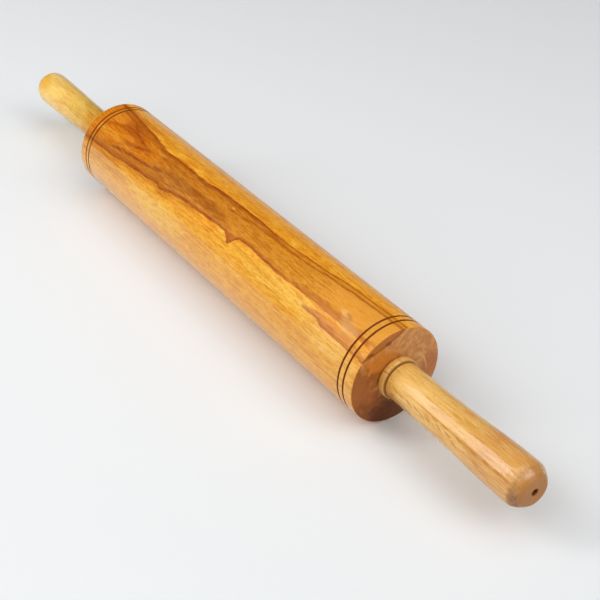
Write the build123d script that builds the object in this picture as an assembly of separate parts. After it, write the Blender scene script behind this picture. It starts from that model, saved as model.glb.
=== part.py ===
from build123d import *
from math import cos, radians, sin
import os

# Turned wooden rolling pin. The barrel turns on a steel axle rod, and the ends of
# the rod are glued into two turned handles, which stand still in the hands.
# Millimetres. The origin is the middle of the barrel on the turning axis, +X runs
# along the axis to the right handle, and +Z is up.

# Barrel
barrel_r = 25.0
barrel_length = 260.0
barrel_edge_bevel = 0.7
rod_passage_clearance = 0.75

# Burnt rings, cut by hand as a pair of V grooves near each end of the barrel
ring_width = 1.1
ring_depth = 0.6
ring_count = 2
left_ring_inset = 6.1
left_ring_pitch = 3.1
right_ring_inset = 6.4
right_ring_pitch = 3.85

# Axle rod
rod_r = 4.0
rod_end_bevel = 0.6
rod_in_handle = 52.0

# Bushes, one pressed into each end of the barrel with its flange let in flush
bush_wall = 2.5
bush_sleeve_length = 16.0
bush_flange_overhang = 2.0
bush_flange_thickness = 1.6
running_clearance = 0.05

# Thrust washers, one between each bush and its handle
washer_thickness = 0.5
washer_r = 8.0
washer_bore_clearance = 0.1
end_play = 0.15

# Handles: what the two have in common
collar_length = 2.8
collar_rise = 1.1
collar_edge_bevel = 0.4
score_width = 1.2
score_depth = 0.6
neck_length = 20.2
hollow_share = 0.5
ball_angle = 33
tip_bevel_length = 1.8
tip_bevel_drop = 2.6
vent_r = 1.5
glue_pocket_depth = 2.0

# Handles: turned by eye, so each has its own thickness and length
left_handle_length = 93.3
left_neck_r = 9.0
left_swell_rise = 1.0
right_handle_length = 89.8
right_neck_r = 9.4
right_swell_rise = 1.6

# How far a cutter reaches past what it cuts
overrun = 1.0

# Places along the axis that several pieces share
half_barrel = barrel_length / 2
handle_base = half_barrel + end_play + washer_thickness
rod_end = handle_base + rod_in_handle

# Radii that several pieces share
bush_bore_r = rod_r + running_clearance
bush_r = bush_bore_r + bush_wall
bush_flange_r = bush_r + bush_flange_overhang

# How far a piece drawn at the +X end is turned, about +Z, to come to its own end
turn_of_side = {"left": 180, "right": 0}


def turned(*lines):
    """Solid turned about the axis from a closed outline of (place, radius) points."""
    return revolve(make_face(Curve() + list(lines)), Axis.X)


def turned_through(*points):
    """Solid turned from a closed outline with straight sides."""
    return turned(Polyline(*points, close=True))


def at_end(side, piece):
    """A piece drawn at the +X end of the pin, brought to the end that it belongs to."""
    return Rot(Z=turn_of_side[side]) * piece


def burnt_ring(place):
    """Cutter for one V groove round the barrel."""
    start = place - ring_width / 2
    end = place + ring_width / 2
    return turned_through(
        (start, barrel_r + overrun),
        (start, barrel_r),
        (place, barrel_r - ring_depth),
        (end, barrel_r),
        (end, barrel_r + overrun),
    )


def bush_seat():
    """Cutter for the stepped seat that a bush fills."""
    flange_floor = half_barrel - bush_flange_thickness
    sleeve_floor = flange_floor - bush_sleeve_length
    return turned_through(
        (sleeve_floor, 0),
        (sleeve_floor, bush_r),
        (flange_floor, bush_r),
        (flange_floor, bush_flange_r),
        (half_barrel + overrun, bush_flange_r),
        (half_barrel + overrun, 0),
    )


def barrel():
    """Roller with bevelled ends, a passage for the rod, seats for the bushes and burnt rings."""
    bevel_start = half_barrel - barrel_edge_bevel
    face_r = barrel_r - barrel_edge_bevel
    body = turned_through(
        (-half_barrel, 0),
        (-half_barrel, face_r),
        (-bevel_start, barrel_r),
        (bevel_start, barrel_r),
        (half_barrel, face_r),
        (half_barrel, 0),
    )
    body -= Rot(Y=90) * Cylinder(rod_r + rod_passage_clearance, barrel_length + 2 * overrun)
    rings = (("left", left_ring_inset, left_ring_pitch), ("right", right_ring_inset, right_ring_pitch))
    for side, inset, pitch in rings:
        body -= at_end(side, bush_seat())
        for i in range(ring_count):
            body -= at_end(side, burnt_ring(half_barrel - inset - i * pitch))
    return body


def axle_rod():
    """Bar through the whole pin, bevelled at its ends."""
    bevel_start = rod_end - rod_end_bevel
    end_r = rod_r - rod_end_bevel
    return turned_through(
        (-rod_end, 0),
        (-rod_end, end_r),
        (-bevel_start, rod_r),
        (bevel_start, rod_r),
        (rod_end, end_r),
        (rod_end, 0),
    )


def bush():
    """Flanged bush that fills its seat."""
    flange_floor = half_barrel - bush_flange_thickness
    sleeve_end = flange_floor - bush_sleeve_length
    return turned_through(
        (sleeve_end, bush_bore_r),
        (sleeve_end, bush_r),
        (flange_floor, bush_r),
        (flange_floor, bush_flange_r),
        (half_barrel, bush_flange_r),
        (half_barrel, bush_bore_r),
    )


def thrust_washer():
    """Washer that lies against the handle and keeps it off the barrel."""
    bore_r = rod_r + washer_bore_clearance
    start = handle_base - washer_thickness
    return turned_through((start, bore_r), (start, washer_r), (handle_base, washer_r), (handle_base, bore_r))


def foot(neck_r, neck_end):
    """Outline of a handle's collar, scored line and straight neck, from the bore's mouth outwards."""
    collar_r = neck_r + collar_rise
    collar_end = handle_base + collar_length
    return Polyline(
        (handle_base, rod_r),
        (handle_base, collar_r),
        (collar_end - collar_edge_bevel, collar_r),
        (collar_end, collar_r - collar_edge_bevel),
        (collar_end + score_width / 2, neck_r - score_depth),
        (collar_end + score_width, neck_r),
        (neck_end, neck_r),
    )


def grip(neck_r, neck_end, crest_r, crest):
    """Outline of the grip: a hollow flare, a swell up to the crest, and a ball centred on the axis."""
    start = Vector(neck_end, neck_r)
    top = Vector(crest, crest_r)
    turn = start + (top - start) * hollow_share
    hollow = TangentArc(start, turn, tangent=(1, 0))
    swell = TangentArc(turn, top, tangent=hollow % 1)
    ball = JernArc(top, (1, 0), crest_r, -ball_angle)
    return hollow, swell, ball


def handle(length, neck_r, swell_rise):
    """Turned handle with a glued bore, a swelling grip, and a vent hole through its flat tip."""
    neck_end = handle_base + collar_length + score_width + neck_length
    crest_r = neck_r + swell_rise
    tip = handle_base + length
    crest = tip - tip_bevel_length - crest_r * sin(radians(ball_angle))
    tip_r = crest_r * cos(radians(ball_angle)) - tip_bevel_drop
    bore_floor = rod_end + glue_pocket_depth
    hollow, swell, ball = grip(neck_r, neck_end, crest_r, crest)
    tip_and_bore = Polyline(
        ball @ 1,
        (tip, tip_r),
        (tip, vent_r),
        (bore_floor, vent_r),
        (bore_floor, rod_r),
        (handle_base, rod_r),
    )
    return turned(foot(neck_r, neck_end), hollow, swell, ball, tip_and_bore)


def write(node, piece):
    """Write one sub-part."""
    export_step(piece, os.path.join("parts", node + ".step"))


def main():
    """Build and write every sub-part."""
    os.makedirs("parts", exist_ok=True)
    write("barrel", barrel())
    write("axle_rod", axle_rod())
    for side in turn_of_side:
        write(side + "_bush", at_end(side, bush()))
        write(side + "_thrust_washer", at_end(side, thrust_washer()))
    write("left_handle", at_end("left", handle(left_handle_length, left_neck_r, left_swell_rise)))
    write("right_handle", at_end("right", handle(right_handle_length, right_neck_r, right_swell_rise)))


main()
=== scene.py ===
import logging
import math
from dataclasses import dataclass
from enum import Enum
from typing import Callable, Sequence

import bmesh
import bpy
from mathutils import Matrix, Vector


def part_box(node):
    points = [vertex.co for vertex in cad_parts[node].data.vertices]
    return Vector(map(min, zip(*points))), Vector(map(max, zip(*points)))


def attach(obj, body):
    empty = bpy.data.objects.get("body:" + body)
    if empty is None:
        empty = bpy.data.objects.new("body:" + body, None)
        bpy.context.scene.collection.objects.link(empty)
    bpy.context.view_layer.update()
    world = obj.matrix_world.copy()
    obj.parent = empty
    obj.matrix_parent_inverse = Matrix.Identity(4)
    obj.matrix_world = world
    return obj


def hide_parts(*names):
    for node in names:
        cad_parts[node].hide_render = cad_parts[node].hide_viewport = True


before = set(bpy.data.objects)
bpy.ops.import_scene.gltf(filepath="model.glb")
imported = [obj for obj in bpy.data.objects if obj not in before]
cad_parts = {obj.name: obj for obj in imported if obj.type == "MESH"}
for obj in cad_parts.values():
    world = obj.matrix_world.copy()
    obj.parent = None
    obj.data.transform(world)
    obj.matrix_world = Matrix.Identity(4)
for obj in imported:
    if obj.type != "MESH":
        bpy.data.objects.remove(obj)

MM = 0.001
SEAM_INSET = 5.6  # from a handle's tip back to where its dome starts, in mm
log = logging.getLogger("rolling_pin")

Socket = bpy.types.NodeSocket
Number = float | Socket


class Side(Enum):
    """End of the pin, by the sign of its place along the axis."""

    LEFT = -1
    RIGHT = 1


class Sum(Enum):
    """Arithmetic that a finish uses."""

    ADD = "ADD"
    SUBTRACT = "SUBTRACT"
    MULTIPLY = "MULTIPLY"
    ABSOLUTE = "ABSOLUTE"
    MAXIMUM = "MAXIMUM"
    ANGLE = "ARCTAN2"
    ROOT = "SQRT"
    TO_AND_FRO = "PINGPONG"


class Blend(Enum):
    """How one colour is laid over another."""

    COVER = "MIX"
    STAIN = "MULTIPLY"
    LIGHTEN = "SCREEN"


@dataclass(frozen=True)
class Colour:
    """Colour as it looks on a screen, each part from 0 to 255."""

    red: float
    green: float
    blue: float

    def linear(self) -> tuple[float, ...]:
        """The same colour as light, with full cover."""
        parts = [part / 255 for part in (self.red, self.green, self.blue)]
        return (*(part / 12.92 if part <= 0.04045 else ((part + 0.055) / 1.055) ** 2.4 for part in parts), 1.0)


@dataclass(frozen=True)
class Grain:
    """Cloudy pattern in a piece.

    Attributes:
        along: Clouds per mm along the piece.
        across: Clouds per mm across it.
        detail: Number of finer layers.
        roughness: Strength of the finer layers.
    """

    along: float
    across: float
    detail: float = 2.0
    roughness: float = 0.5


@dataclass(frozen=True)
class Ramp:
    """Smooth change from a low to a high level, between a start and an end of what is read."""

    start: float
    end: float
    low: float = 0.0
    high: float = 1.0


@dataclass(frozen=True)
class Corner:
    """Corner of a turned outline.

    Attributes:
        place: Distance along the axis, in mm.
        radius: Distance from the axis, in mm.
        rounding: How far the corner is cut back when it is rounded, in mm.
    """

    place: float
    radius: float
    rounding: float = 0.0


class Recipe:
    """Node graph of one finish, written as sums of named steps."""

    def __init__(self, name: str) -> None:
        """Starts an empty material.

        Args:
            name: Name of the material.
        """
        self.material = bpy.data.materials.new(name)
        self.material.use_nodes = True
        self.tree = self.material.node_tree
        self.tree.nodes.clear()
        self.lookup = self.node("ShaderNodeTexCoord")

    def node(self, kind: str, **settings: object) -> bpy.types.Node:
        """Adds a node.

        Args:
            kind: Blender's name of the node.
            settings: Values of the node's own options.

        Returns:
            The node.
        """
        made = self.tree.nodes.new(kind)
        for option, value in settings.items():
            setattr(made, option, value)
        return made

    def feed(self, socket: Socket, value: Number | tuple | Colour) -> None:
        """Links a socket to a value, or sets it.

        Args:
            socket: Input to feed.
            value: Another node's output, a number, a vector or a colour.
        """
        if isinstance(value, bpy.types.NodeSocket):
            self.tree.links.new(value, socket)
        elif isinstance(value, Colour):
            socket.default_value = value.linear()
        else:
            socket.default_value = value

    def sum(self, step: Sum, first: Number, second: Number = 0.0) -> Socket:
        """Arithmetic on one or two numbers.

        Args:
            step: What is done.
            first: First number.
            second: Second number.

        Returns:
            The result.
        """
        made = self.node("ShaderNodeMath", operation=step.value)
        self.feed(made.inputs[0], first)
        self.feed(made.inputs[1], second)
        return made.outputs[0]

    def plus(self, first: Number, second: Number) -> Socket:
        """Sum of two numbers."""
        return self.sum(Sum.ADD, first, second)

    def minus(self, first: Number, second: Number) -> Socket:
        """Difference of two numbers."""
        return self.sum(Sum.SUBTRACT, first, second)

    def times(self, first: Number, second: Number) -> Socket:
        """Product of two numbers."""
        return self.sum(Sum.MULTIPLY, first, second)

    def size_of(self, value: Number) -> Socket:
        """A number without its sign."""
        return self.sum(Sum.ABSOLUTE, value)

    def step(self, value: Number, start: float, end: float, low: Number = 0.0, high: Number = 1.0) -> Socket:
        """Smooth change from one level to another.

        Args:
            value: Number that is read.
            start: Where the change starts.
            end: Where it ends.
            low: Level at the start.
            high: Level at the end.

        Returns:
            The level.
        """
        made = self.node("ShaderNodeMapRange", interpolation_type="SMOOTHSTEP")
        levels = {"Value": value, "From Min": start, "From Max": end, "To Min": low, "To Max": high}
        for name, number in levels.items():
            self.feed(made.inputs[name], number)
        return made.outputs["Result"]

    def level(self, value: Number, ramp: Ramp) -> Socket:
        """Level of a ramp at a number."""
        return self.step(value, ramp.start, ramp.end, ramp.low, ramp.high)

    def bump_at(self, value: Number, centre: float, reach: float) -> Socket:
        """Soft hump that is 1 at its centre and 0 a reach away."""
        return self.step(self.size_of(self.minus(value, centre)), 0.0, reach, 1.0, 0.0)

    def millimetres(self, along: float = 1.0, across: float = 1.0, shift: float = 0.0) -> Socket:
        """Place in the piece, in mm, stretched for a pattern that is longer one way.

        Args:
            along: Factor along the piece.
            across: Factor across it.
            shift: Distance by which the pattern is moved along each axis.

        Returns:
            The place.
        """
        made = self.node("ShaderNodeMapping", vector_type="POINT")
        self.feed(made.inputs["Vector"], self.lookup.outputs["Object"])
        self.feed(made.inputs["Scale"], (along / MM, across / MM, across / MM))
        self.feed(made.inputs["Location"], (shift, shift, shift))
        return made.outputs["Vector"]

    def parts(self, vector: Socket) -> tuple[Socket, Socket, Socket]:
        """Takes a vector apart.

        Args:
            vector: The vector.

        Returns:
            Its three parts.
        """
        made = self.node("ShaderNodeSeparateXYZ")
        self.feed(made.inputs[0], vector)
        return made.outputs[0], made.outputs[1], made.outputs[2]

    def noise(self, grain: Grain, shift: float = 0.0) -> Socket:
        """Cloudy pattern about 0.5.

        Args:
            grain: Its clouds.
            shift: Distance by which it is moved along each axis.

        Returns:
            The pattern.
        """
        made = self.node("ShaderNodeTexNoise", noise_dimensions="3D")
        self.feed(made.inputs["Vector"], self.millimetres(grain.along, grain.across, shift))
        for name, number in (("Scale", 1.0), ("Detail", grain.detail), ("Roughness", grain.roughness)):
            self.feed(made.inputs[name], number)
        return made.outputs["Fac"]

    def sway(self, grain: Grain, reach: float, shift: float = 0.0) -> Socket:
        """Cloudy pattern about 0, which moves a line to and fro by up to a reach."""
        return self.times(self.minus(self.noise(grain, shift), 0.5), 2 * reach)

    def drawn(self, value: Socket, points: Sequence[tuple[float, float]]) -> Socket:
        """Number read off a smooth curve drawn through given points.

        Args:
            value: Number that is read, in the units of the points.
            points: Points of the curve, from left to right.

        Returns:
            Height of the curve there.
        """
        left, right = points[0][0], points[-1][0]
        low = min(height for _, height in points)
        high = max(height for _, height in points)
        made = self.node("ShaderNodeFloatCurve")
        curve = made.mapping.curves[0]
        while len(curve.points) < len(points):
            curve.points.new(0.5, 0.5)
        for point, (at, height) in zip(curve.points, points):
            point.location = ((at - left) / (right - left), (height - low) / (high - low))
            point.handle_type = "AUTO_CLAMPED"
        made.mapping.update()
        self.feed(made.inputs["Value"], self.times(self.minus(value, left), 1 / (right - left)))
        return self.plus(self.times(made.outputs[0], high - low), low)

    def shades(self, value: Number, stops: Sequence[tuple[float, Colour]]) -> Socket:
        """Colour that changes with a number.

        Args:
            value: Number from 0 to 1.
            stops: Places from 0 to 1 with the colour at each.

        Returns:
            The colour.
        """
        made = self.node("ShaderNodeValToRGB")
        ramp = made.color_ramp
        ramp.interpolation = "EASE"
        while len(ramp.elements) < len(stops):
            ramp.elements.new(1.0)
        for element, (at, colour) in zip(ramp.elements, stops):
            element.position = at
            element.color = colour.linear()
        self.feed(made.inputs[0], value)
        return made.outputs[0]

    def lay(self, under: Socket | Colour, over: Socket | Colour, cover: Number, how: Blend = Blend.COVER) -> Socket:
        """One colour laid over another.

        Args:
            under: Colour below.
            over: Colour on top.
            cover: How much of it shows, from 0 to 1.
            how: How it is laid on.

        Returns:
            The colour.
        """
        made = self.node("ShaderNodeMix", data_type="RGBA", blend_type=how.value, clamp_factor=True)
        for name, value in (("Factor", cover), ("A", under), ("B", over)):
            self.feed(made.inputs[name], value)
        return made.outputs["Result"]

    def relief(self, height: Socket, depth: float, under: Socket | None = None) -> Socket:
        """Fine relief of the surface.

        Args:
            height: Height from 0 to 1.
            depth: Depth of the relief, in mm.
            under: Relief below this one.

        Returns:
            The normal.
        """
        made = self.node("ShaderNodeBump")
        for name, value in (("Strength", 1.0), ("Distance", depth * MM), ("Height", height)):
            self.feed(made.inputs[name], value)
        if under is not None:
            self.feed(made.inputs["Normal"], under)
        return made.outputs["Normal"]

    def finish(self, **inputs: Number | tuple | Colour) -> bpy.types.Material:
        """Ends the graph with its surface shader.

        Args:
            inputs: The shader's inputs, with underscores for spaces.

        Returns:
            The material.
        """
        shader = self.node("ShaderNodeBsdfPrincipled")
        for name, value in inputs.items():
            self.feed(shader.inputs[name.replace("_", " ")], value)
        output = self.node("ShaderNodeOutputMaterial")
        self.tree.links.new(shader.outputs[0], output.inputs["Surface"])
        return self.material


class Sheet:
    """Surface that is painted mark by mark, read by its distance along the piece and round it, in mm."""

    def __init__(self, recipe: Recipe, first: Socket, second: Socket, ground: Socket, ragged: Socket) -> None:
        """Lays the ground colour.

        Args:
            recipe: Graph to add to.
            first: Distance along the piece.
            second: Distance round it.
            ground: Colour below the marks.
            ragged: Cloudy pattern about 0 that tears the edges of patches.
        """
        self.recipe = recipe
        self.first = first
        self.second = second
        self.colour = ground
        self.ragged = ragged

    def cover(self, colour: Socket | Colour, share: Number, how: Blend = Blend.COVER) -> None:
        """Lays a colour over the whole sheet."""
        self.colour = self.recipe.lay(self.colour, colour, share, how)

    def draw(self, marks: "Sequence[Streak | Patch]", within: Number = 1.0) -> None:
        """Draws marks, the first one lowest.

        Args:
            marks: The marks.
            within: Part of the sheet where they show, from 0 to 1.
        """
        for mark in marks:
            share = self.recipe.times(mark.shape_on(self), mark.cover)
            self.cover(Colour(*mark.colour), self.recipe.times(share, within))


@dataclass(frozen=True)
class Streak:
    """Grain line.

    Attributes:
        course: Points along it: distances along the piece and round it, in mm.
        colour: Its colour, as the parts of a Colour.
        cover: How much of it shows, from 0 to 1.
        sides: How wide it is toward smaller and toward greater distances round, in mm.
        span: Where it starts and ends along the piece, in mm.
        fades: Length over which it fades at its start and at its end, in mm.
    """

    course: tuple[tuple[float, float], ...]
    colour: tuple[int, int, int]
    cover: float
    sides: tuple[float, float]
    span: tuple[float, float]
    fades: tuple[float, float] = (6.0, 6.0)

    def shape_on(self, sheet: Sheet) -> Socket:
        """Shape of the line on a sheet.

        Args:
            sheet: The sheet.

        Returns:
            Where the line is, from 0 to 1.
        """
        recipe = sheet.recipe
        off = recipe.minus(sheet.second, recipe.drawn(sheet.first, self.course))
        across = recipe.times(recipe.step(off, -self.sides[0], 0.0), recipe.step(off, 0.0, self.sides[1], 1.0, 0.0))
        start = recipe.step(sheet.first, self.span[0], self.span[0] + self.fades[0])
        end = recipe.step(sheet.first, self.span[1] - self.fades[1], self.span[1], 1.0, 0.0)
        return recipe.times(across, recipe.times(start, end))


PATCH_EDGE = Ramp(0.35, 1.5, 1.0, 0.0)


@dataclass(frozen=True)
class Patch:
    """Soft oval of another colour with a torn edge.

    Attributes:
        place: Its middle: distances along the piece and round it, in mm.
        reach: Half of its length and half of its width, in mm.
        colour: Its colour, as the parts of a Colour.
        cover: How much of it shows, from 0 to 1.
        lean: How far it moves round the piece in each mm along it, in mm.
    """

    place: tuple[float, float]
    reach: tuple[float, float]
    colour: tuple[int, int, int]
    cover: float
    lean: float = 0.0

    def shape_on(self, sheet: Sheet) -> Socket:
        """Shape of the patch on a sheet.

        Args:
            sheet: The sheet.

        Returns:
            Where the patch is, from 0 to 1.
        """
        recipe = sheet.recipe
        along = recipe.minus(sheet.first, self.place[0])
        across = recipe.minus(recipe.minus(sheet.second, self.place[1]), recipe.times(along, self.lean))
        along = recipe.times(along, 1 / self.reach[0])
        across = recipe.times(across, 1 / self.reach[1])
        away = recipe.plus(recipe.times(along, along), recipe.times(across, across))
        return recipe.level(recipe.plus(away, sheet.ragged), PATCH_EDGE)


UPPER_BORDER = (
    (-130, -5.6), (-118.9, -4.7), (-107.8, -3.3), (-96.7, -1.6), (-85.6, -0.8), (-80, 0.6), (-71.7, 1.7),
    (-66, 2.5), (-57.8, 2.1), (-46.7, 2.0), (-27.8, 2.2), (-18.9, 0.6), (0, 0.1), (22, -0.2), (39, 0.5),
    (62, -1.1), (73, -1.8), (79, -2.4), (87, -3.7), (101, -4.5), (118, -5.3), (130, -5.6),
)
LOWER_BORDER = (
    (-130, 26.2), (-118.9, 25.6), (-96.7, 24.5), (-85.6, 23.4), (-63.3, 21.7), (-52.2, 20.5), (-50, 21.6),
    (-38.9, 19.8), (-27.8, 18.1), (-11, 17.5), (8.3, 16.7), (12.8, 17.5), (15.6, 19.3), (17.5, 20.6),
    (19.2, 19.0), (21, 16.6), (23.8, 15.2), (29, 14.8), (40, 15.3), (62, 16.0), (71, 15.5), (84.4, 15.2),
    (130, 15.3),
)
SECOND_LINE = (
    (-1.7, 6.4), (5.6, 5.6), (13.9, 4.8), (21, 3.7), (43, 3.1), (53.9, 2.8), (64.4, 2.3), (69.4, 1.7),
    (78.9, 0.3), (87.2, -0.2), (95.6, -1.1), (103.9, -1.5), (117.8, -2.2), (130, -2.8),
)
LOWER_WEDGE = ((80, 20.4), (86, 20.1), (92, 19.4), (98, 19.7), (118, 19.4), (130, 19.2))
LOWER_EDGE = ((80, 20.2), (90, 20.1), (95.6, 20.9), (98.9, 21.9), (117.8, 22.1), (130, 22.4))

COAT_ALONG = ((-130, 0.1), (-90, 0.12), (-50, 0.3), (-10, 0.45), (40, 0.42), (60, 0.2), (130, 0.12))

SAPWOOD_MARKS = (
    Patch((-128, 8), (3.5, 18), (184, 112, 12), 0.4),
    Patch((-112, -5), (34, 3), (214, 128, 6), 0.8, 0.04),
    Patch((-45, 33), (30, 7), (238, 184, 66), 0.9),
    Patch((66, 20.5), (34, 4.5), (238, 184, 70), 0.9),
    Patch((108, 26.0), (24, 4.0), (240, 186, 96), 0.9),
    Patch((30, 20.0), (26, 3.0), (234, 172, 50), 0.8),
    Patch((-106, 30.5), (30, 4), (214, 146, 8), 0.9),
    Patch((0, -10.0), (220, 4.0), (254, 180, 54), 0.8),
    Patch((-127, 26.8), (4, 1.6), (130, 70, 10), 0.7),
    Streak(LOWER_BORDER, (198, 118, 2), 0.85, (0.2, 5.0), (-140, -8), (1, 14)),
    Streak(LOWER_EDGE, (206, 132, 44), 0.95, (8.0, 0.3), (86, 140), (10, 1)),
    Streak(LOWER_WEDGE, (206, 124, 40), 0.8, (2.4, 1.8), (82, 130), (8, 26)),
    Streak(LOWER_EDGE, (184, 104, 14), 0.9, (1.8, 0.4), (80, 140), (4, 1)),
    Streak(LOWER_EDGE, (172, 92, 4), 0.8, (2.4, 0.6), (80, 100), (4, 12)),
)
HEARTWOOD_MARKS_AND_SHEEN = (
    Streak(LOWER_BORDER, (178, 106, 26), 0.95, (9.0, 0.5), (-140, -24), (1, 12)),
    Streak(LOWER_BORDER, (196, 106, 10), 0.4, (4.0, 0.5), (-30, 74), (8, 14)),
    Streak(UPPER_BORDER, (180, 92, 0), 0.75, (1.2, 4.4), (-118, -36), (16, 24)),
    Streak(UPPER_BORDER, (196, 108, 10), 0.5, (0.5, 4.5), (-40, 62), (10, 14)),
    Patch((-115, 4.0), (8, 4.5), (226, 144, 38), 0.7),
    Patch((-108, 15.6), (18, 2.2), (220, 146, 34), 0.8, 0.03),
    Patch((-42, 12.6), (20, 3.2), (174, 108, 30), 0.8, -0.06),
    Patch((-14, 11.8), (20, 3.0), (166, 92, 4), 0.85),
    Patch((30, 9.0), (34, 2.6), (192, 118, 20), 0.5),
    Patch((100, 15.0), (32, 4.0), (192, 116, 28), 0.95),
    Patch((-84, 10.0), (12, 2.6), (188, 96, 0), 0.85),
    Patch((-97, 5.6), (11, 4.8), (182, 90, 0), 0.9),
    Patch((-95, 10.9), (5.0, 1.4), (220, 136, 30), 0.75),
    Streak(((-119, -1.5), (-108, 0.3), (-97, 2.0), (-86, 4.2)), (172, 84, 0), 0.8, (1.2, 2.2), (-124, -84)),
    Streak(
        ((-106, 0.0), (-100, 2.6), (-95, 5.0), (-85, 7.5), (-79, 8.6), (-73.5, 9.3)),
        (158, 74, 0), 0.95, (1.0, 1.8), (-106, -72.5), (5, 3),
    ),
    Streak(
        ((-99, 13.3), (-92, 13.8), (-88, 13.4), (-80, 11.2), (-73.5, 9.4)),
        (160, 74, 0), 0.95, (2.0, 0.9), (-100, -72.5), (6, 3),
    ),
    Streak(((-119, 10.9), (-110.6, 8.7), (-104, 6.4), (-97, 5.0)), (176, 88, 0), 0.85, (1.6, 2.0), (-124, -92)),
    Streak(
        ((-104, 20.9), (-94.4, 18.9), (-80, 17.6), (-71, 16.7), (-63.3, 15.6), (-56, 14.4)),
        (150, 74, 0), 0.95, (1.7, 1.3), (-108, -54), (8, 8),
    ),
    Streak(((-66, 16.0), (-50, 13.2), (-36, 11.8)), (162, 88, 10), 0.8, (2.2, 2.0), (-68, -30), (8, 10)),
    # Pale pinkish line just inside the lower border: painted sheen.
    Streak(
        ((-44, 17.6), (-30, 16.3), (-11, 15.6), (8, 15.1), (16, 15.6)),
        (214, 146, 72), 0.6, (0.7, 0.8), (-44, 17), (6, 4),
    ),
    Streak(((-83, 3.6), (-75, 5.9), (-60, 6.4)), (224, 150, 60), 0.5, (0.5, 0.5), (-83, -58), (4, 4)),
    Streak(((-66, 7.3), (-40, 6.6)), (156, 82, 6), 0.8, (0.8, 1.0), (-66, -38), (4, 6)),
    Streak(SECOND_LINE, (212, 134, 24), 0.7, (4.2, 0.4), (2, 140), (10, 1)),
    Streak(SECOND_LINE, (172, 86, 0), 0.9, (1.0, 1.4), (-3, 140), (6, 1)),
    Streak(UPPER_BORDER, (166, 82, 0), 0.8, (0.5, 4.4), (-36, 10), (6, 8)),
    Streak(UPPER_BORDER, (158, 74, 0), 1.0, (1.0, 3.4), (-140, 50), (1, 14)),
    Streak(UPPER_BORDER, (168, 84, 0), 0.95, (1.0, 1.9), (40, 140), (10, 1)),
    Streak(LOWER_BORDER, (156, 76, 0), 1.0, (2.8, 0.7), (-140, 64), (1, 10)),
    Streak(LOWER_BORDER, (184, 106, 8), 0.8, (1.6, 0.5), (54, 104), (10, 16)),
    Patch((16.6, 17.4), (3.6, 2.2), (180, 92, 16), 0.8),
    Patch((2.5, 4.2), (1.3, 0.6), (230, 176, 106), 0.9),
)
SURFACE_MARKS_AND_HIGHLIGHT = (
    # Pale pinkish patch near the right end: painted highlight, the reflection of the window lamp.
    Patch((111.0, 13.2), (8.0, 3.6), (222, 168, 104), 0.4, 0.35),
    Patch((103.6, 9.6), (3.0, 1.4), (236, 180, 108), 0.5),
    Patch((107.6, 9.9), (3.6, 0.8), (180, 116, 46), 0.6, 0.2),
)


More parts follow.
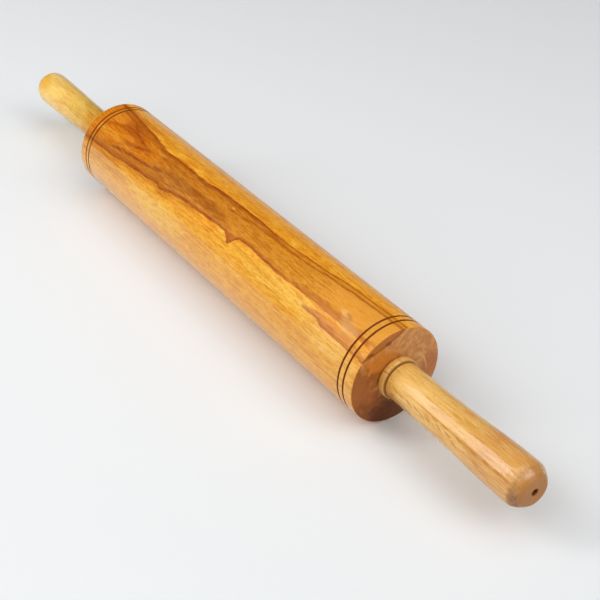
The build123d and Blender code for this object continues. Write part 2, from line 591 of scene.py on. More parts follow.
@dataclass(frozen=True)
class VarnishedFlank:
    """Varnished flank of the barrel: golden sapwood crossed by a brown heartwood band, and the burnt rings, with a
    painted highlight near the right end and painted sheen inside the band's lower border.

    Attributes:
        radius: Radius of the barrel, in mm.
        half_length: Half of its length, in mm.
        ring_places: Places of the burnt rings along the axis, in mm.
        burn_reach: How far the burn reaches from the middle of a ring, in mm.
        heartwood: Colours of the band, by share of the length.
        sways: Grains that move the figure round the barrel, each with its reach in mm.
        torn: Grain that tears the edges of patches, and its strength.
        char: Grain that moves the edges of the burn, and its reach in mm.
        underside: Where the paler lower side ends, round the barrel in mm.
        crown_start: Where the varnish of the crown starts, round the barrel in mm.
        crown_end: Where it ends.
    """

    radius: float
    half_length: float
    ring_places: tuple[float, ...]
    burn_reach: float = 0.62
    burn_edge_shares: tuple[float, float] = (0.6, 1.3)
    sapwood: Colour = Colour(240, 162, 36)
    sapwood_pale: Colour = Colour(250, 186, 62)
    sapwood_deep: Colour = Colour(226, 144, 20)
    lower_sapwood: Colour = Colour(232, 168, 54)
    heartwood: tuple[tuple[float, Colour], ...] = (
        (0.0, Colour(210, 122, 0)),
        (0.19, Colour(202, 116, 0)),
        (0.31, Colour(198, 120, 22)),
        (0.5, Colour(204, 130, 26)),
        (0.66, Colour(212, 140, 30)),
        (0.77, Colour(212, 142, 36)),
        (0.86, Colour(226, 154, 56)),
    )
    fibre_light: Colour = Colour(96, 74, 40)
    fibre_shade: Colour = Colour(234, 212, 160)
    figure_shade: Colour = Colour(232, 208, 150)
    pore: Colour = Colour(158, 84, 4)
    sapwood_pore: Colour = Colour(196, 118, 22)
    burn: Colour = Colour(116, 52, 0)
    worn_burn: Colour = Colour(150, 86, 34)
    sways: tuple[tuple[Grain, float], ...] = (
        (Grain(0.03, 0.15), 0.5), (Grain(0.14, 1.3, 4.0), 0.7), (Grain(0.5, 2.6, 3.0), 0.6),
    )
    torn: tuple[Grain, float] = (Grain(0.16, 0.6, 3.0), 1.2)
    char: tuple[Grain, float] = (Grain(0.5, 0.5), 0.14)
    clouds: Grain = Grain(0.09, 0.24, 3.0)
    fibres: Grain = Grain(0.16, 1.1, 4.0, 0.7)
    figures: Grain = Grain(0.035, 0.9, 3.0, 0.6)
    pores: Grain = Grain(0.4, 2.2, 1.0)
    lower_side: Ramp = Ramp(16.0, 28.0, 0.0, 0.8)
    underside: Ramp = Ramp(50.0, 74.0, 1.0, 0.0)
    upper_edge: Ramp = Ramp(-0.4, 0.3)
    lower_edge: Ramp = Ramp(-0.3, 0.4)
    plain_end: Ramp = Ramp(78.0, 100.0, 0.0, 0.65)
    light_fibre: Ramp = Ramp(0.5, 0.64, 0.0, 0.9)
    dark_fibre: Ramp = Ramp(0.52, 0.38, 0.0, 0.9)
    dark_figure: Ramp = Ramp(0.5, 0.62, 0.0, 0.6)
    open_pore: Ramp = Ramp(0.58, 0.68)
    pore_cover: float = 0.4
    sapwood_pore_cover: float = 0.45
    worn_side: Ramp = Ramp(24.0, 29.0)
    worn_half: Ramp = Ramp(0.0, -1.0)
    crown_start: tuple[float, float] = (-15.0, -5.0)
    crown_end: tuple[float, float] = (27.0, 29.0)
    plain_coat: float = 0.38
    lower_coat: float = 0.95
    sheen: Ramp = Ramp(0.3, 0.7, 0.42, 0.55)

    def sheet(self, recipe: Recipe) -> Sheet:
        """Sapwood ground, with fibres, clouds and a paler side below.

        Args:
            recipe: Graph to add to.

        Returns:
            The sheet to paint on.
        """
        along, across, up = recipe.parts(recipe.millimetres())
        angle = recipe.sum(Sum.ANGLE, recipe.times(across, -1.0), up)
        wander: Number = 0.0
        for grain, reach in reversed(self.sways):
            wander = recipe.plus(recipe.sway(grain, reach), wander)
        round_it = recipe.plus(recipe.times(angle, self.radius), wander)
        tones = ((0.3, self.sapwood_deep), (0.5, self.sapwood), (0.7, self.sapwood_pale))
        ground = recipe.shades(recipe.noise(self.clouds), tones)
        flank = recipe.times(recipe.level(round_it, self.lower_side), recipe.level(round_it, self.underside))
        ground = recipe.lay(ground, self.lower_sapwood, flank)
        return Sheet(recipe, along, round_it, ground, recipe.sway(*self.torn))

    def band(self, sheet: Sheet) -> Socket:
        """Shape of the heartwood band.

        Args:
            sheet: The flank.

        Returns:
            Where the band is, from 0 to 1.
        """
        recipe = sheet.recipe
        upper = recipe.minus(sheet.second, recipe.drawn(sheet.first, UPPER_BORDER))
        lower = recipe.minus(recipe.drawn(sheet.first, LOWER_BORDER), sheet.second)
        return recipe.times(recipe.level(upper, self.upper_edge), recipe.level(lower, self.lower_edge))

    def burnt(self, sheet: Sheet) -> Socket:
        """Shape of the burnt rings.

        Args:
            sheet: The flank.

        Returns:
            Where the wood is burnt, from 0 to 1.
        """
        recipe = sheet.recipe
        char = recipe.sway(*self.char)
        burnt: Number = 0.0
        black, brown = (share * self.burn_reach for share in self.burn_edge_shares)
        for place in self.ring_places:
            away = recipe.size_of(recipe.minus(recipe.plus(sheet.first, char), place))
            burnt = recipe.sum(Sum.MAXIMUM, recipe.step(away, black, brown, 1.0, 0.0), burnt)
        return burnt

    def made(self) -> bpy.types.Material:
        """Mixes the finish.

        Returns:
            The finished material.
        """
        recipe = Recipe("barrel_flank")
        sheet = self.sheet(recipe)
        sheet.draw(SAPWOOD_MARKS)
        band = self.band(sheet)
        share = recipe.times(recipe.plus(sheet.first, self.half_length), 1 / (2 * self.half_length))
        sheet.cover(recipe.shades(share, self.heartwood), band)
        # Heartwood marks, with a line of painted sheen.
        sheet.draw(HEARTWOOD_MARKS_AND_SHEEN, band)

        fibre = recipe.noise(self.fibres)
        figured = recipe.minus(1.0, recipe.times(band, recipe.level(sheet.first, self.plain_end)))
        for tone, pattern, ramp, how in (
            (self.fibre_light, fibre, self.light_fibre, Blend.LIGHTEN),
            (self.fibre_shade, fibre, self.dark_fibre, Blend.STAIN),
            (self.figure_shade, recipe.noise(self.figures), self.dark_figure, Blend.STAIN),
        ):
            sheet.cover(tone, recipe.times(figured, recipe.level(pattern, ramp)), how)
        pore = recipe.times(figured, recipe.level(recipe.noise(self.pores), self.open_pore))
        sheet.cover(self.pore, recipe.times(recipe.times(pore, band), self.pore_cover))
        sapwood = recipe.minus(1.0, band)
        sheet.cover(self.sapwood_pore, recipe.times(recipe.times(pore, sapwood), self.sapwood_pore_cover))
        # A blemish with its pale rim, and a painted highlight.
        sheet.draw(SURFACE_MARKS_AND_HIGHLIGHT)

        burnt = self.burnt(sheet)
        worn = recipe.times(recipe.level(sheet.second, self.worn_side), recipe.level(sheet.first, self.worn_half))
        sheet.cover(recipe.lay(self.burn, self.worn_burn, worn), burnt)
        crown = recipe.step(sheet.second, *self.crown_start, self.plain_coat, recipe.drawn(sheet.first, COAT_ALONG))
        below = recipe.step(sheet.second, self.underside.start, self.underside.end, self.lower_coat, self.plain_coat)
        coat = recipe.step(sheet.second, *self.crown_end, crown, below)
        return recipe.finish(
            Base_Color=sheet.colour,
            Roughness=recipe.level(fibre, self.sheen),
            Specular_IOR_Level=0.15,
            Normal=recipe.relief(pore, depth=-0.03, under=recipe.relief(fibre, depth=0.03)),
            Coat_Weight=recipe.times(coat, recipe.minus(1.0, burnt)),
            Coat_Roughness=0.13,
        )


END_LINE = ((-24, 13.5), (-18.9, 16.0), (-12, 17.6), (-6, 19.6), (0, 22.2), (3.3, 23.9))
END_MARKS_AND_SHADE = (
    Patch((-10, 11), (10, 6.5), (206, 122, 34), 0.85),
    # The next four patches darken the left side, the lower part and the spot left of the collar: painted shadow of
    # the handle and painted shade towards the bottom.
    Patch((-21, -1), (8, 15), (158, 86, 20), 0.9),
    Patch((-12, -15), (13, 10), (134, 68, 12), 0.9),
    Patch((-3, -20), (13, 8), (96, 46, 10), 0.9),
    Patch((-12.5, 3), (4.5, 5), (150, 80, 14), 0.75),
    Patch((-14, -6), (4.5, 4.5), (166, 92, 30), 0.8),
    Patch((20, -3), (6, 8), (184, 110, 58), 0.85),
    Streak(((4, 20), (12, 14), (20, 6)), (226, 158, 96), 0.45, (1.6, 1.6), (4, 20), (4, 4)),
    Streak(((6, 12), (14, 12.5), (22, 13.5)), (186, 116, 62), 0.5, (1.5, 1.0), (6, 22), (4, 4)),
    Streak(((11, 8.5), (15.8, 4), (17.6, -1), (18.6, -6)), (234, 176, 112), 0.75, (2.6, 2.2), (11, 18.6), (3, 1)),
    Streak(((-3, 12), (1, 17), (5, 22)), (176, 106, 48), 0.45, (1.8, 1.2), (-3, 6), (3, 2)),
    Streak(END_LINE, (178, 104, 30), 0.95, (0.6, 16), (-25, 6), (1, 2)),
    Streak(END_LINE, (146, 76, 22), 0.8, (0.8, 1.0), (-25, 5), (2, 2)),
    Patch((-5, 20), (1.8, 1.2), (134, 66, 20), 0.8),
    Patch((-15, 18), (1.8, 1.2), (130, 62, 12), 0.8),
)


@dataclass(frozen=True)
class EndGrain:
    """End face of the barrel: dark end grain with pores, faint growth rings, a wedge of heartwood, and painted shade
    of the handle's shadow on its left and lower part.
    """

    pith: tuple[float, float] = (-41.0, 112.0)
    ring_pitch: float = 1.8
    ground: Colour = Colour(198, 132, 66)
    pale: Colour = Colour(222, 158, 92)
    ring: Colour = Colour(168, 92, 30)
    pore: Colour = Colour(140, 76, 30)
    clouds: Grain = Grain(0.2, 0.3, 4.0, 0.6)
    torn: tuple[Grain, float] = (Grain(0.3, 0.3, 3.0), 1.2)
    ring_sway: tuple[Grain, float] = (Grain(0.1, 0.16, 3.0), 3.0)
    pores: Grain = Grain(1.8, 1.8, 3.0, 0.7)
    open_pore: Ramp = Ramp(0.5, 0.68)
    ring_cover: float = 0.11
    pore_cover: float = 0.32

    def growth(self, recipe: Recipe, across: Socket, up: Socket) -> Socket:
        """Late wood of the growth rings, from 0 to 1.

        Args:
            recipe: Graph to add to.
            across: Distance across the face, in mm.
            up: Height on the face, in mm.

        Returns:
            The rings.
        """
        sideways = recipe.minus(across, self.pith[0])
        downward = recipe.minus(up, self.pith[1])
        square = recipe.plus(recipe.times(sideways, sideways), recipe.times(downward, downward))
        away = recipe.plus(recipe.sum(Sum.ROOT, square), recipe.sway(*self.ring_sway))
        return recipe.step(recipe.sum(Sum.TO_AND_FRO, away, self.ring_pitch), 0.5 * self.ring_pitch, self.ring_pitch)

    def made(self) -> bpy.types.Material:
        """Mixes the finish.

        Returns:
            The finished material.
        """
        recipe = Recipe("barrel_end_grain")
        _, across, up = recipe.parts(recipe.millimetres())
        ground = recipe.shades(recipe.noise(self.clouds), ((0.35, self.ground), (0.65, self.pale)))
        sheet = Sheet(recipe, across, up, ground, recipe.sway(*self.torn))
        # Grain marks, with painted shade of the handle's shadow.
        sheet.draw(END_MARKS_AND_SHADE)
        sheet.cover(self.ring, recipe.times(self.growth(recipe, across, up), self.ring_cover))
        pore = recipe.level(recipe.noise(self.pores), self.open_pore)
        sheet.cover(self.pore, recipe.times(pore, self.pore_cover))
        return recipe.finish(
            Base_Color=sheet.colour,
            Roughness=0.6,
            Specular_IOR_Level=0.2,
            Normal=recipe.relief(pore, depth=-0.04),
            Coat_Weight=0.2,
            Coat_Roughness=0.3,
        )


FLECK = (184, 116, 44)
OCHRE = (204, 144, 48)
ORANGE = (222, 142, 66)
NEAR_HANDLE_MARKS_AND_SHADOW = (
    Patch((1.5, 13.5), (3.5, 6.0), (214, 154, 72), 0.7),
    # Dark brown patch on the underside of the neck next to the barrel: painted shadow.
    Patch((12.0, 21.0), (10.0, 5.5), (150, 92, 44), 0.6),
    Streak(((40, 4.2), (60, 3.4), (84, 3.8)), (214, 158, 66), 0.7, (1.3, 1.3), (40, 84), (12, 1)),
    Streak(((28, 10.6), (46, 10.2), (60, 10.7), (84, 10.4)), (190, 130, 56), 0.6, (0.7, 0.7), (28, 84), (4, 1)),
    Patch((51.5, 2.3), (4.5, 0.8), OCHRE, 0.7),
    Patch((44.8, 3.1), (3.0, 0.6), OCHRE, 0.7),
    Patch((28.0, 5.2), (4.0, 0.6), OCHRE, 0.6),
    Patch((57.5, 10.4), (4.0, 0.7), OCHRE, 0.7),
    Patch((46.5, -2.1), (4.0, 1.2), ORANGE, 0.6),
    Patch((66.7, -3.0), (4.0, 1.2), ORANGE, 0.6),
    Patch((78.8, 1.4), (3.5, 1.0), ORANGE, 0.6),
    Patch((64.0, -5.1), (4.0, 1.0), (202, 116, 66), 0.6),
    *(
        Patch(place, (2.2, 0.55), FLECK, 0.6, lean)
        for place, lean in (
            ((10, 12.4), 0.3), ((14, 12.9), 0.25), ((20, 13.4), 0.3), ((25, 13.1), 0.2), ((29, 14.0), 0.3),
            ((33, 13.4), 0.25), ((40, 12.6), 0.3), ((46, 12.4), 0.2), ((50.6, 14.0), 0.3), ((65, 14.0), 0.25),
            ((36, 10.6), 0.1), ((43, 10.3), 0.1), ((52, 10.5), 0.1), ((62, 10.6), 0.1), ((70, 10.5), 0.1),
            ((77, 10.4), 0.1),
        )
    ),
    Streak(((-1.0, 8.1), (2.5, 8.35), (5.5, 8.1)), (110, 60, 22), 0.8, (0.3, 0.3), (-1.0, 5.5), (0.5, 1.5)),
)
FAR_HANDLE_MARKS = (
    Patch((40.0, 3.3), (6.0, 1.6), (232, 192, 110), 0.35),
    Patch((33.0, 7.0), (5.0, 1.6), (226, 180, 90), 0.3),
    Patch((86.0, 7.5), (9.0, 6.0), (226, 166, 50), 0.7),
    Patch((84.0, -2.5), (10.0, 3.0), (244, 208, 144), 0.6),
)

NEAR_HANDLE_TONES = (
    (0.0, Colour(226, 174, 86)),
    (0.05, Colour(230, 180, 90)),
    (0.12, Colour(234, 186, 102)),
    (0.5, Colour(230, 178, 94)),
    (0.75, Colour(220, 162, 90)),
    (0.9, Colour(218, 160, 86)),
)
FAR_HANDLE_TONES_AND_SHADE = (
    # Dark ochre at the foot, next to the barrel: partly the wood's own tone, partly painted shade of the barrel.
    (0.0, Colour(192, 128, 26)),
    (0.27, Colour(208, 150, 42)),
    (0.38, Colour(212, 166, 64)),
    (0.48, Colour(228, 186, 84)),
    (0.6, Colour(238, 192, 96)),
    (0.72, Colour(244, 202, 106)),
)


@dataclass(frozen=True)
class TurnedBeech:
    """Varnished pale beech of a handle: brown flecks, a scored line and end grain at the tip, with painted shade
    under the tip and in the vent, and a painted highlight on top of the tip.

    Attributes:
        name: Name of the material.
        foot: Where the handle starts along the axis, in mm.
        length: Length of the handle, in mm.
        tones: Colours from its foot to its tip, by share of the length; on the far handle the dark foot is partly
            painted shade of the barrel.
        marks: What is seen in its grain, and on the near handle a painted shadow under the neck: places from its
            foot, and distances round it, in mm.
        seed: Shift of its patterns, in mm.
    """

    name: str
    foot: float
    length: float
    tones: tuple[tuple[float, Colour], ...]
    marks: tuple[Streak | Patch, ...]
    seed: float
    mean_radius: float = 10.0
    score_place: float = 3.4
    score_reach: float = 0.75
    vent_reach: float = 2.3
    fibre_shade: Colour = Colour(226, 206, 170)
    fibre_light: Colour = Colour(250, 206, 140)
    score: Colour = Colour(128, 72, 16)
    tip: Colour = Colour(166, 108, 50)
    tip_dark: Colour = Colour(134, 84, 36)
    disc: Colour = Colour(178, 118, 58)
    vent_shade: Colour = Colour(120, 60, 8)
    wander: tuple[Grain, float] = (Grain(0.1, 0.8, 3.0), 0.4)
    torn: tuple[Grain, float] = (Grain(0.4, 0.9, 3.0), 1.0)
    clouds: Grain = Grain(0.06, 0.22, 3.0)
    fibres: Grain = Grain(0.1, 1.1, 4.0, 0.65)
    flecks: Grain = Grain(0.5, 2.2, 1.0)
    pores: Grain = Grain(0.6, 0.6, 4.0, 0.6)
    cloud_shade: Ramp = Ramp(0.45, 0.7, 0.0, 0.45)
    dark_fibre: Ramp = Ramp(0.48, 0.7, 0.0, 0.7)
    light_fibre: Ramp = Ramp(0.48, 0.3, 0.0, 0.4)
    fleck_edge: Ramp = Ramp(0.63, 0.7)
    fleck_cover: float = 0.5
    score_cover: float = 0.95
    score_coat: tuple[float, float] = (0.2, 0.8)
    end_grain_start: Ramp = Ramp(-0.8, 1.6)
    end_grain_shade_and_highlight: Ramp = Ramp(-1.0, 8.0, 0.92, 0.38)
    flat_insets: tuple[float, float] = (1.9, 1.2)
    flat_cover: float = 0.8
    vent_fade: float = 0.9
    worn_start: Ramp = Ramp(-3.0, 0.0)
    worn_below: Ramp = Ramp(-7.0, 3.0, 0.85, 0.0)
    coat: Ramp = Ramp(-5.0, -1.0, 0.6, 1.0)

    def made(self) -> bpy.types.Material:
        """Mixes the finish.

        Returns:
            The finished material.
        """
        recipe = Recipe(self.name)
        along, across, up = recipe.parts(recipe.millimetres())
        from_foot = recipe.minus(recipe.size_of(along), self.foot)
        angle = recipe.sum(Sum.ANGLE, recipe.times(across, -1.0), up)
        round_it = recipe.plus(recipe.times(angle, self.mean_radius), recipe.sway(*self.wander, self.seed))
        ground = recipe.shades(recipe.times(from_foot, 1 / self.length), self.tones)
        sheet = Sheet(recipe, from_foot, round_it, ground, recipe.sway(*self.torn, self.seed))
        fibre = recipe.noise(self.fibres, self.seed)
        cloud = recipe.noise(self.clouds, self.seed)
        sheet.cover(self.fibre_shade, recipe.level(cloud, self.cloud_shade), Blend.STAIN)
        sheet.cover(self.fibre_shade, recipe.level(fibre, self.dark_fibre), Blend.STAIN)
        sheet.cover(self.fibre_light, recipe.level(fibre, self.light_fibre))
        fleck = recipe.level(recipe.noise(self.flecks, self.seed), self.fleck_edge)
        sheet.cover(Colour(*FLECK), recipe.times(fleck, self.fleck_cover))
        sheet.draw(self.marks)
        score = recipe.bump_at(from_foot, self.score_place, self.score_reach)
        sheet.cover(self.score, recipe.times(score, self.score_cover))

        end_grain = recipe.shades(recipe.noise(self.pores, self.seed), ((0.35, self.tip), (0.65, self.tip_dark)))
        seam = self.length - SEAM_INSET
        past_seam = recipe.plus(recipe.minus(from_foot, seam), recipe.times(sheet.ragged, 0.5))
        grown = recipe.level(past_seam, self.end_grain_start)
        # End grain covers the dome more low down than on top: painted shade on its underside and a painted highlight
        # on its top.
        sheet.cover(end_grain, recipe.times(grown, recipe.level(up, self.end_grain_shade_and_highlight)))
        rim, rim_end = (self.length - inset for inset in self.flat_insets)
        flat = recipe.times(recipe.step(from_foot, rim, rim_end), self.flat_cover)
        sheet.cover(self.disc, flat)
        # Dark colour in the vent and on the flat round its mouth, out past the bore: painted shade of the hole.
        square = recipe.plus(recipe.times(across, across), recipe.times(up, up))
        hole_shade = recipe.step(recipe.sum(Sum.ROOT, square), self.vent_reach, self.vent_reach - self.vent_fade)
        sheet.cover(self.vent_shade, hole_shade)
        worn = recipe.times(recipe.level(past_seam, self.worn_start), recipe.level(up, self.worn_below))
        bare = recipe.sum(Sum.MAXIMUM, flat, worn)
        varnish = recipe.times(recipe.level(past_seam, self.coat), recipe.minus(1.0, bare))
        return recipe.finish(
            Base_Color=sheet.colour,
            Roughness=0.5,
            Specular_IOR_Level=0.25,
            Normal=recipe.relief(fibre, depth=0.03),
            Coat_Weight=recipe.step(score, *self.score_coat, varnish, 0.0),
            Coat_Roughness=0.1,
        )


@dataclass(frozen=True)
class BrushedSteel:
    """Drawn or stamped steel with fine marks."""

    name: str
    marks: Grain
    tone: Colour = Colour(196, 196, 198)
    dark: Colour = Colour(150, 150, 154)
    dark_marks: Ramp = Ramp(0.35, 0.7, 0.0, 0.5)
    sheen: Ramp = Ramp(0.3, 0.7, 0.28, 0.4)

    def made(self) -> bpy.types.Material:
        """Mixes the finish.

        Returns:
            The finished material.
        """
        recipe = Recipe(self.name)
        marks = recipe.noise(self.marks)
        colour = recipe.lay(self.tone, self.dark, recipe.level(marks, self.dark_marks))
        return recipe.finish(
            Base_Color=colour,
            Metallic=1.0,
            Roughness=recipe.level(marks, self.sheen),
            Normal=recipe.relief(marks, depth=0.005),
        )


@dataclass(frozen=True)
class Nylon:
    """Natural moulded nylon of the bushes."""

    tone: Colour = Colour(228, 224, 208)
    dark: Colour = Colour(210, 204, 186)
    skin: Grain = Grain(2.0, 2.0)
    dark_skin: Ramp = Ramp(0.4, 0.7, 0.0, 0.5)

    def made(self) -> bpy.types.Material:
        """Mixes the finish.

        Returns:
            The finished material.
        """
        recipe = Recipe("bush_nylon")
        skin = recipe.noise(self.skin)
        colour = recipe.lay(self.tone, self.dark, recipe.level(skin, self.dark_skin))
        return recipe.finish(Base_Color=colour, Roughness=0.45, Normal=recipe.relief(skin, depth=0.01))


def put_in_scene(name: str, data: bpy.types.ID) -> bpy.types.Object:
    """Makes an object of a mesh, a lamp or a camera, and puts it in the scene.

    Args:
        name: Name of the object.
        data: What it shows.

    Returns:
        The object.
    """
    made = bpy.data.objects.new(name, data)
    bpy.context.scene.collection.objects.link(made)
    return made


class Turning:
    """Piece turned on a lathe: a closed outline, spun about the X axis."""

    SHARP_ANGLE = math.radians(38)
    MERGE_DISTANCE = 0.0001

    def __init__(self, name: str, corners: Sequence[Corner], steps: int) -> None:
        """Spins the outline.

        Args:
            name: Name of the piece.
            corners: Corners of the closed outline, in order.
            steps: Number of facets round the piece.
        """
        self.shape = bmesh.new()
        points = [self.shape.verts.new((corner.place * MM, 0.0, corner.radius * MM)) for corner in corners]
        for here, there in zip(points, points[1:] + points[:1]):
            self.shape.edges.new((here, there))
        for rounding in sorted({corner.rounding for corner in corners if corner.rounding}):
            bmesh.ops.bevel(
                self.shape,
                geom=[point for point, corner in zip(points, corners) if corner.rounding == rounding],
                offset=rounding * MM,
                offset_type="OFFSET",
                segments=4,
                profile=0.5,
                affect="VERTICES",
                material=-1,
            )
        bmesh.ops.spin(
            self.shape,
            geom=self.shape.verts[:] + self.shape.edges[:],
            cent=(0.0, 0.0, 0.0),
            axis=(1.0, 0.0, 0.0),
            angle=math.tau,
            steps=steps,
            use_merge=True,
        )
        bmesh.ops.remove_doubles(self.shape, verts=self.shape.verts, dist=self.MERGE_DISTANCE * MM)
        bmesh.ops.recalc_face_normals(self.shape, faces=self.shape.faces)
        for face in self.shape.faces:
            face.smooth = True
        for edge in self.shape.edges:
            edge.smooth = edge.calc_face_angle(0.0) < self.SHARP_ANGLE
        self.name = name

    def paint(self, where: Callable[[bmesh.types.BMFace], bool], index: int) -> None:
        """Gives some faces another of the piece's finishes.

        Args:
            where: Tells whether a face gets it.
            index: Number of the finish.
        """
        for face in self.shape.faces:
            if where(face):
                face.material_index = index

    def placed(self, finishes: Sequence[bpy.types.Material]) -> bpy.types.Object:
        """Puts the piece in the scene.

        Args:
            finishes: Its materials, by number.

        Returns:
            The piece.
        """
        mesh = bpy.data.meshes.new(self.name)
        self.shape.to_mesh(mesh)
        self.shape.free()
        for finish in finishes:
            mesh.materials.append(finish)
        return put_in_scene(self.name, mesh)


def dress_node(node: str, material: bpy.types.Material) -> bpy.types.Object:
    """Gives a carried-over piece its finish.

    Args:
        node: Name of the CAD node.
        material: Its finish.

    Returns:
        The piece.
    """
    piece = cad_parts[node]
    piece.data.materials.clear()
    piece.data.materials.append(material)
    return piece


@dataclass
class Roller:
    """The part that turns: the barrel with its burnt rings, and a bush in each end. Lengths in mm."""

    half_length: float
    radius: float
    edge_rounding: float = 0.7
    passage_radius: float = 4.75
    bush_radius: float = 6.55
    bush_flange_radius: float = 8.55
    bush_flange_thickness: float = 1.6
    bush_length: float = 17.6
    ring_width: float = 1.1
    ring_depth: float = 0.6
    ring_lip: float = 0.12
    end_grain_facing: float = 0.6
    left_rings: tuple[float, ...] = (6.1, 9.2)
    right_rings: tuple[float, ...] = (6.4, 10.25)
    steps: int = 256

    def ring_places(self) -> tuple[float, ...]:
        """Where the burnt rings are.

        Returns:
            Their places along the axis, from left to right.
        """
        left = [inset - self.half_length for inset in self.left_rings]
        right = [self.half_length - inset for inset in reversed(self.right_rings)]
        return (*left, *right)

    def end_corners(self, side: Side) -> list[Corner]:
        """Outline of one end, from the passage for the rod to the rounded edge.

        Args:
            side: Which end.

        Returns:
            The corners, from the axis outwards.
        """
        flange_floor = self.half_length - self.bush_flange_thickness
        sleeve_floor = self.half_length - self.bush_length
        outline = (
            (sleeve_floor, self.passage_radius, 0.0),
            (sleeve_floor, self.bush_radius, 0.0),
            (flange_floor, self.bush_radius, 0.0),
            (flange_floor, self.bush_flange_radius, 0.0),
            (self.half_length, self.bush_flange_radius, 0.0),
            (self.half_length, self.radius, self.edge_rounding),
        )
        return [Corner(side.value * place, radius, cut) for place, radius, cut in outline]

    def ring_corners(self, place: float) -> list[Corner]:
        """Outline of one burnt ring, from left to right.

        Args:
            place: Its place along the axis.

        Returns:
            The corners.
        """
        half = self.ring_width / 2
        return [
            Corner(place - half, self.radius, self.ring_lip),
            Corner(place, self.radius - self.ring_depth, self.ring_lip),
            Corner(place + half, self.radius, self.ring_lip),
        ]

    def is_end_grain(self, face: bmesh.types.BMFace) -> bool:
        """Whether a face belongs to an end face of the barrel."""
        past_flank = abs(face.calc_center_median().x) > (self.half_length - self.edge_rounding) * MM
        return past_flank and abs(face.normal.x) > self.end_grain_facing

    def build(self) -> bpy.types.Object:
        """Builds and dresses the barrel, and dresses the bushes.

        Returns:
            The barrel.
        """
        corners = self.end_corners(Side.LEFT)
        for place in self.ring_places():
            corners += self.ring_corners(place)
        corners += reversed(self.end_corners(Side.RIGHT))
        turning = Turning("turned_barrel", corners, self.steps)
        turning.paint(self.is_end_grain, 1)
        flank = VarnishedFlank(self.radius, self.half_length, self.ring_places()).made()
        barrel = turning.placed([flank, EndGrain().made()])
        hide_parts("barrel")
        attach(barrel, "roller")
        nylon = Nylon().made()
        for node in ("left_bush", "right_bush"):
            dress_node(node, nylon)
        return barrel


@dataclass
class Handle:
    """Turned handle: collar, scored line, neck, swelling grip and domed tip. Lengths in mm from its foot."""

    side: Side
    foot: float
    length: float
    neck_radius: float
    swell: float
    finish: TurnedBeech
    rod_radius: float = 4.0
    rod_depth: float = 54.0
    vent_radius: float = 1.5
    collar_length: float = 2.8
    collar_rise: float = 1.1
    collar_rounding: float = 0.7
    foot_rounding: float = 0.3
    score_rounding: float = 0.15
    neck_rounding: float = 0.5
    rim_rounding: float = 0.45
    vent_rounding: float = 0.35
    score_width: float = 1.2
    score_depth: float = 0.6
    neck_length: float = 20.2
    crest_inset: float = 7.3
    seam_drop: float = 0.2
    dome_drop: float = 3.9
    dome_slope_share: float = 0.45
    grip_points: int = 24
    dome_points: int = 12
    steps: int = 128

    def grip(self, start: float) -> list[tuple[float, float]]:
        """Points of the grip, which flares from the neck and swells up to its thickest place.

        Args:
            start: End of the neck.

        Returns:
            Places and radii, both ends included.
        """
        crest = self.length - self.crest_inset
        points = []
        for i in range(self.grip_points + 1):
            share = i / self.grip_points
            rise = 2 * share**2 if share < 0.5 else 1 - 2 * (1 - share) ** 2
            points.append((start + share * (crest - start), self.neck_radius + self.swell * rise))
        return points

    def dome(self) -> list[tuple[float, float]]:
        """Points of the domed tip, from past the seam to the rim of the flat.

        Returns:
            Places and radii.
        """
        seam_radius = self.neck_radius + self.swell - self.seam_drop
        points = []
        for i in range(1, self.dome_points + 1):
            share = i / self.dome_points
            fall = self.dome_slope_share * share + (1 - self.dome_slope_share) * share**2
            points.append((self.length - SEAM_INSET * (1 - share), seam_radius - self.dome_drop * fall))
        return points

    def corners(self) -> list[Corner]:
        """Closed outline of the handle, along the axis from the middle of the pin.

        Returns:
            The corners, in order.
        """
        collar_radius = self.neck_radius + self.collar_rise
        neck_start = self.collar_length + self.score_width
        outline = [
            (0.0, self.rod_radius, 0.0),
            (0.0, collar_radius, self.foot_rounding),
            (self.collar_length, collar_radius, self.collar_rounding),
            (self.collar_length + self.score_width / 2, self.neck_radius - self.score_depth, self.score_rounding),
            (neck_start, self.neck_radius, self.neck_rounding),
        ]
        outline += [(*point, 0.0) for point in self.grip(neck_start + self.neck_length)]
        seam_radius = self.neck_radius + self.swell - self.seam_drop
        *dome, rim = self.dome()
        outline += [(self.length - SEAM_INSET, seam_radius, self.score_rounding)]
        outline += [(*point, 0.0) for point in dome]
        outline += [
            (*rim, self.rim_rounding),
            (self.length, self.vent_radius, self.vent_rounding),
            (self.rod_depth, self.vent_radius, 0.0),
            (self.rod_depth, self.rod_radius, 0.0),
        ]
        return [Corner(self.side.value * (self.foot + place), radius, cut) for place, radius, cut in outline]

    def build(self, node: str) -> bpy.types.Object:
        """Builds and dresses the handle.

        Args:
            node: Name of the CAD node that it stands for.

        Returns:
            The handle.
        """
        handle = Turning("turned_" + node, self.corners(), self.steps).placed([self.finish.made()])
        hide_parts(node)
        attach(handle, "handles")
        return handle


@dataclass
class Axle:
    """The rod through the pin and the washers that keep the handles off the barrel."""

    rod_marks: Grain = Grain(0.05, 3.0, 3.0)
    washer_marks: Grain = Grain(3.0, 3.0, 3.0)

    def dress(self) -> None:
        """Dresses the rod and the washers."""
        dress_node("axle_rod", BrushedSteel("drawn_steel", self.rod_marks).made())
        stamped = BrushedSteel("stamped_steel", self.washer_marks).made()
        for node in ("left_thrust_washer", "right_thrust_washer"):
            dress_node(node, stamped)


@dataclass(frozen=True)
class SoftBox:
    """Soft studio lamp.

    Attributes:
        name: Its name.
        bearing: Direction from the pin, as a vector.
        distance: Distance from the middle of the pin, in metres.
        width: Width of its face, in metres.
        height: Height of its face, in metres.
        power: Power in watts.
        aim: Direction in which it shines, when that is not straight at the pin.
    """

    name: str
    bearing: tuple[float, float, float]
    distance: float
    width: float
    height: float
    power: float
    aim: tuple[float, float, float] | None = None


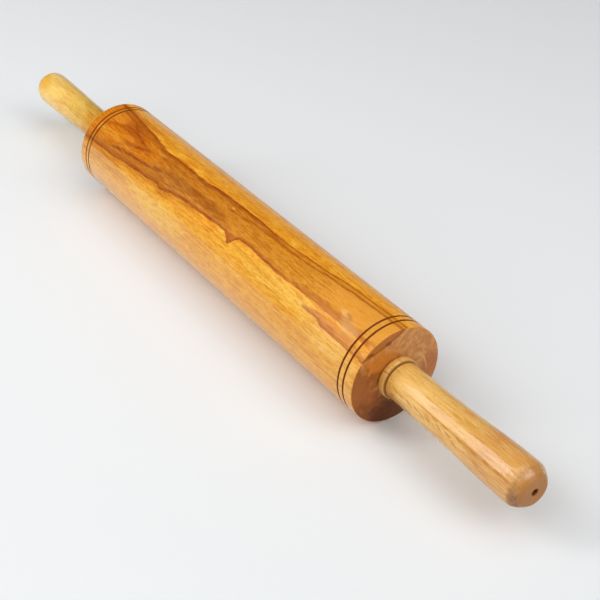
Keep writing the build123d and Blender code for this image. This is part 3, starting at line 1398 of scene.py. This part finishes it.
@dataclass
class Studio:
    """Pale table, soft light and the camera."""

    floor_level: float
    floor_reach: float = 6.0
    floor_tone: Colour = Colour(232, 234, 235)
    sky_tones: tuple[tuple[float, Colour], ...] = ((0.05, Colour(160, 160, 162)), (0.18, Colour(76, 76, 78)))
    sky_strength: float = 1.0
    camera_place: tuple[float, float, float] = (0.4697, -0.2891, 0.3650)
    camera_azimuth: float = 55.14
    camera_elevation: float = 36.04
    lens: float = 76.45
    film_width: float = 36.0
    lamps: tuple[SoftBox, ...] = (
        SoftBox("overhead", (0.33, -0.12, 1.0), 1.8, 2.6, 2.6, 27.0),
        SoftBox("window", (-0.54, -0.78, 0.74), 1.2, 0.34, 1.0, 5.5, (0.0, 0.73, -0.69)),
        SoftBox("glint", (-0.3, -0.63, 0.715), 1.2, 0.32, 0.32, 1.4),
        SoftBox("front_fill", (0.1, -0.8, 0.6), 1.6, 1.2, 1.2, 5.3),
        SoftBox("side_fill", (0.75, 0.3, 0.6), 1.6, 1.0, 1.0, 6.5),
    )

    def floor(self) -> bpy.types.Object:
        """Lays the table.

        Returns:
            The table.
        """
        shape = bmesh.new()
        bmesh.ops.create_grid(shape, x_segments=1, y_segments=1, size=self.floor_reach)
        bmesh.ops.translate(shape, verts=shape.verts, vec=(0.0, 0.0, self.floor_level))
        mesh = bpy.data.meshes.new("table")
        shape.to_mesh(mesh)
        shape.free()
        recipe = Recipe("table_paper")
        mesh.materials.append(recipe.finish(Base_Color=self.floor_tone, Roughness=0.7, Specular_IOR_Level=0.2))
        table = put_in_scene("table", mesh)
        return table

    def sky(self) -> None:
        """Surrounds the scene with pale walls near the horizon under a darker ceiling."""
        world = bpy.data.worlds.new("studio")
        world.use_nodes = True
        tree = world.node_tree
        ground = tree.nodes["Background"]
        place = tree.nodes.new("ShaderNodeTexCoord")
        height = tree.nodes.new("ShaderNodeSeparateXYZ")
        tone = tree.nodes.new("ShaderNodeValToRGB")
        tone.color_ramp.interpolation = "EASE"
        for element, (at, colour) in zip(tone.color_ramp.elements, self.sky_tones):
            element.position = at
            element.color = colour.linear()
        tree.links.new(place.outputs["Generated"], height.inputs[0])
        tree.links.new(height.outputs["Z"], tone.inputs[0])
        tree.links.new(tone.outputs[0], ground.inputs["Color"])
        ground.inputs["Strength"].default_value = self.sky_strength
        bpy.context.scene.world = world

    @staticmethod
    def pose(place: Vector, aim: Vector) -> Matrix:
        """Place and turn of a lamp or a camera that looks along its aim."""
        return Matrix.Translation(place) @ aim.to_track_quat("-Z", "Y").to_matrix().to_4x4()

    def light(self, lamp: SoftBox) -> None:
        """Hangs one lamp, facing the pin.

        Args:
            lamp: The lamp.
        """
        data = bpy.data.lights.new(lamp.name, "AREA")
        data.shape = "RECTANGLE"
        data.size = lamp.width
        data.size_y = lamp.height
        data.energy = lamp.power
        bearing = Vector(lamp.bearing).normalized()
        aim = Vector(lamp.aim) if lamp.aim else -bearing
        put_in_scene(lamp.name, data).matrix_world = self.pose(bearing * lamp.distance, aim)

    def camera(self) -> None:
        """Sets the camera at the photograph's viewing angle."""
        data = bpy.data.cameras.new("camera")
        data.lens = self.lens
        data.sensor_width = self.film_width
        azimuth = math.radians(self.camera_azimuth)
        elevation = math.radians(self.camera_elevation)
        level = math.cos(elevation)
        back = Vector((math.sin(azimuth) * level, -math.cos(azimuth) * level, math.sin(elevation)))
        camera = put_in_scene("camera", data)
        camera.matrix_world = self.pose(Vector(self.camera_place), -back)
        bpy.context.scene.camera = camera

    def build(self) -> None:
        """Lays the table, lights it and sets the camera."""
        self.floor()
        self.sky()
        for lamp in self.lamps:
            self.light(lamp)
        self.camera()
        bpy.context.scene.view_settings.view_transform = "Standard"


def main() -> None:
    """Builds the pin and its studio."""
    logging.basicConfig(level=logging.INFO)
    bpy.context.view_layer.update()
    low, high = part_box("barrel")
    roller = Roller(half_length=high.x / MM, radius=high.z / MM)
    log.info("built %s", roller.build().name)
    ends = {Side.LEFT: "left_handle", Side.RIGHT: "right_handle"}
    turned = {Side.LEFT: (9.0, 1.0), Side.RIGHT: (9.4, 1.6)}
    looks = {
        Side.LEFT: ("far_handle_beech", FAR_HANDLE_TONES_AND_SHADE, FAR_HANDLE_MARKS, 17.0),
        Side.RIGHT: ("near_handle_beech", NEAR_HANDLE_TONES, NEAR_HANDLE_MARKS_AND_SHADOW, 4.0),
    }
    for side, node in ends.items():
        foot, tip = sorted(abs(corner.x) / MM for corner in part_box(node))
        neck_radius, swell = turned[side]
        name, tones, marks, seed = looks[side]
        finish = TurnedBeech(name, foot, tip - foot, tones, marks, seed)
        handle = Handle(side, foot, tip - foot, neck_radius, swell, finish)
        log.info("built %s", handle.build(node).name)
    Axle().dress()
    log.info("dressed the axle")
    Studio(floor_level=low.z).build()
    log.info("set the studio")


if __name__ == "__main__":
    main()
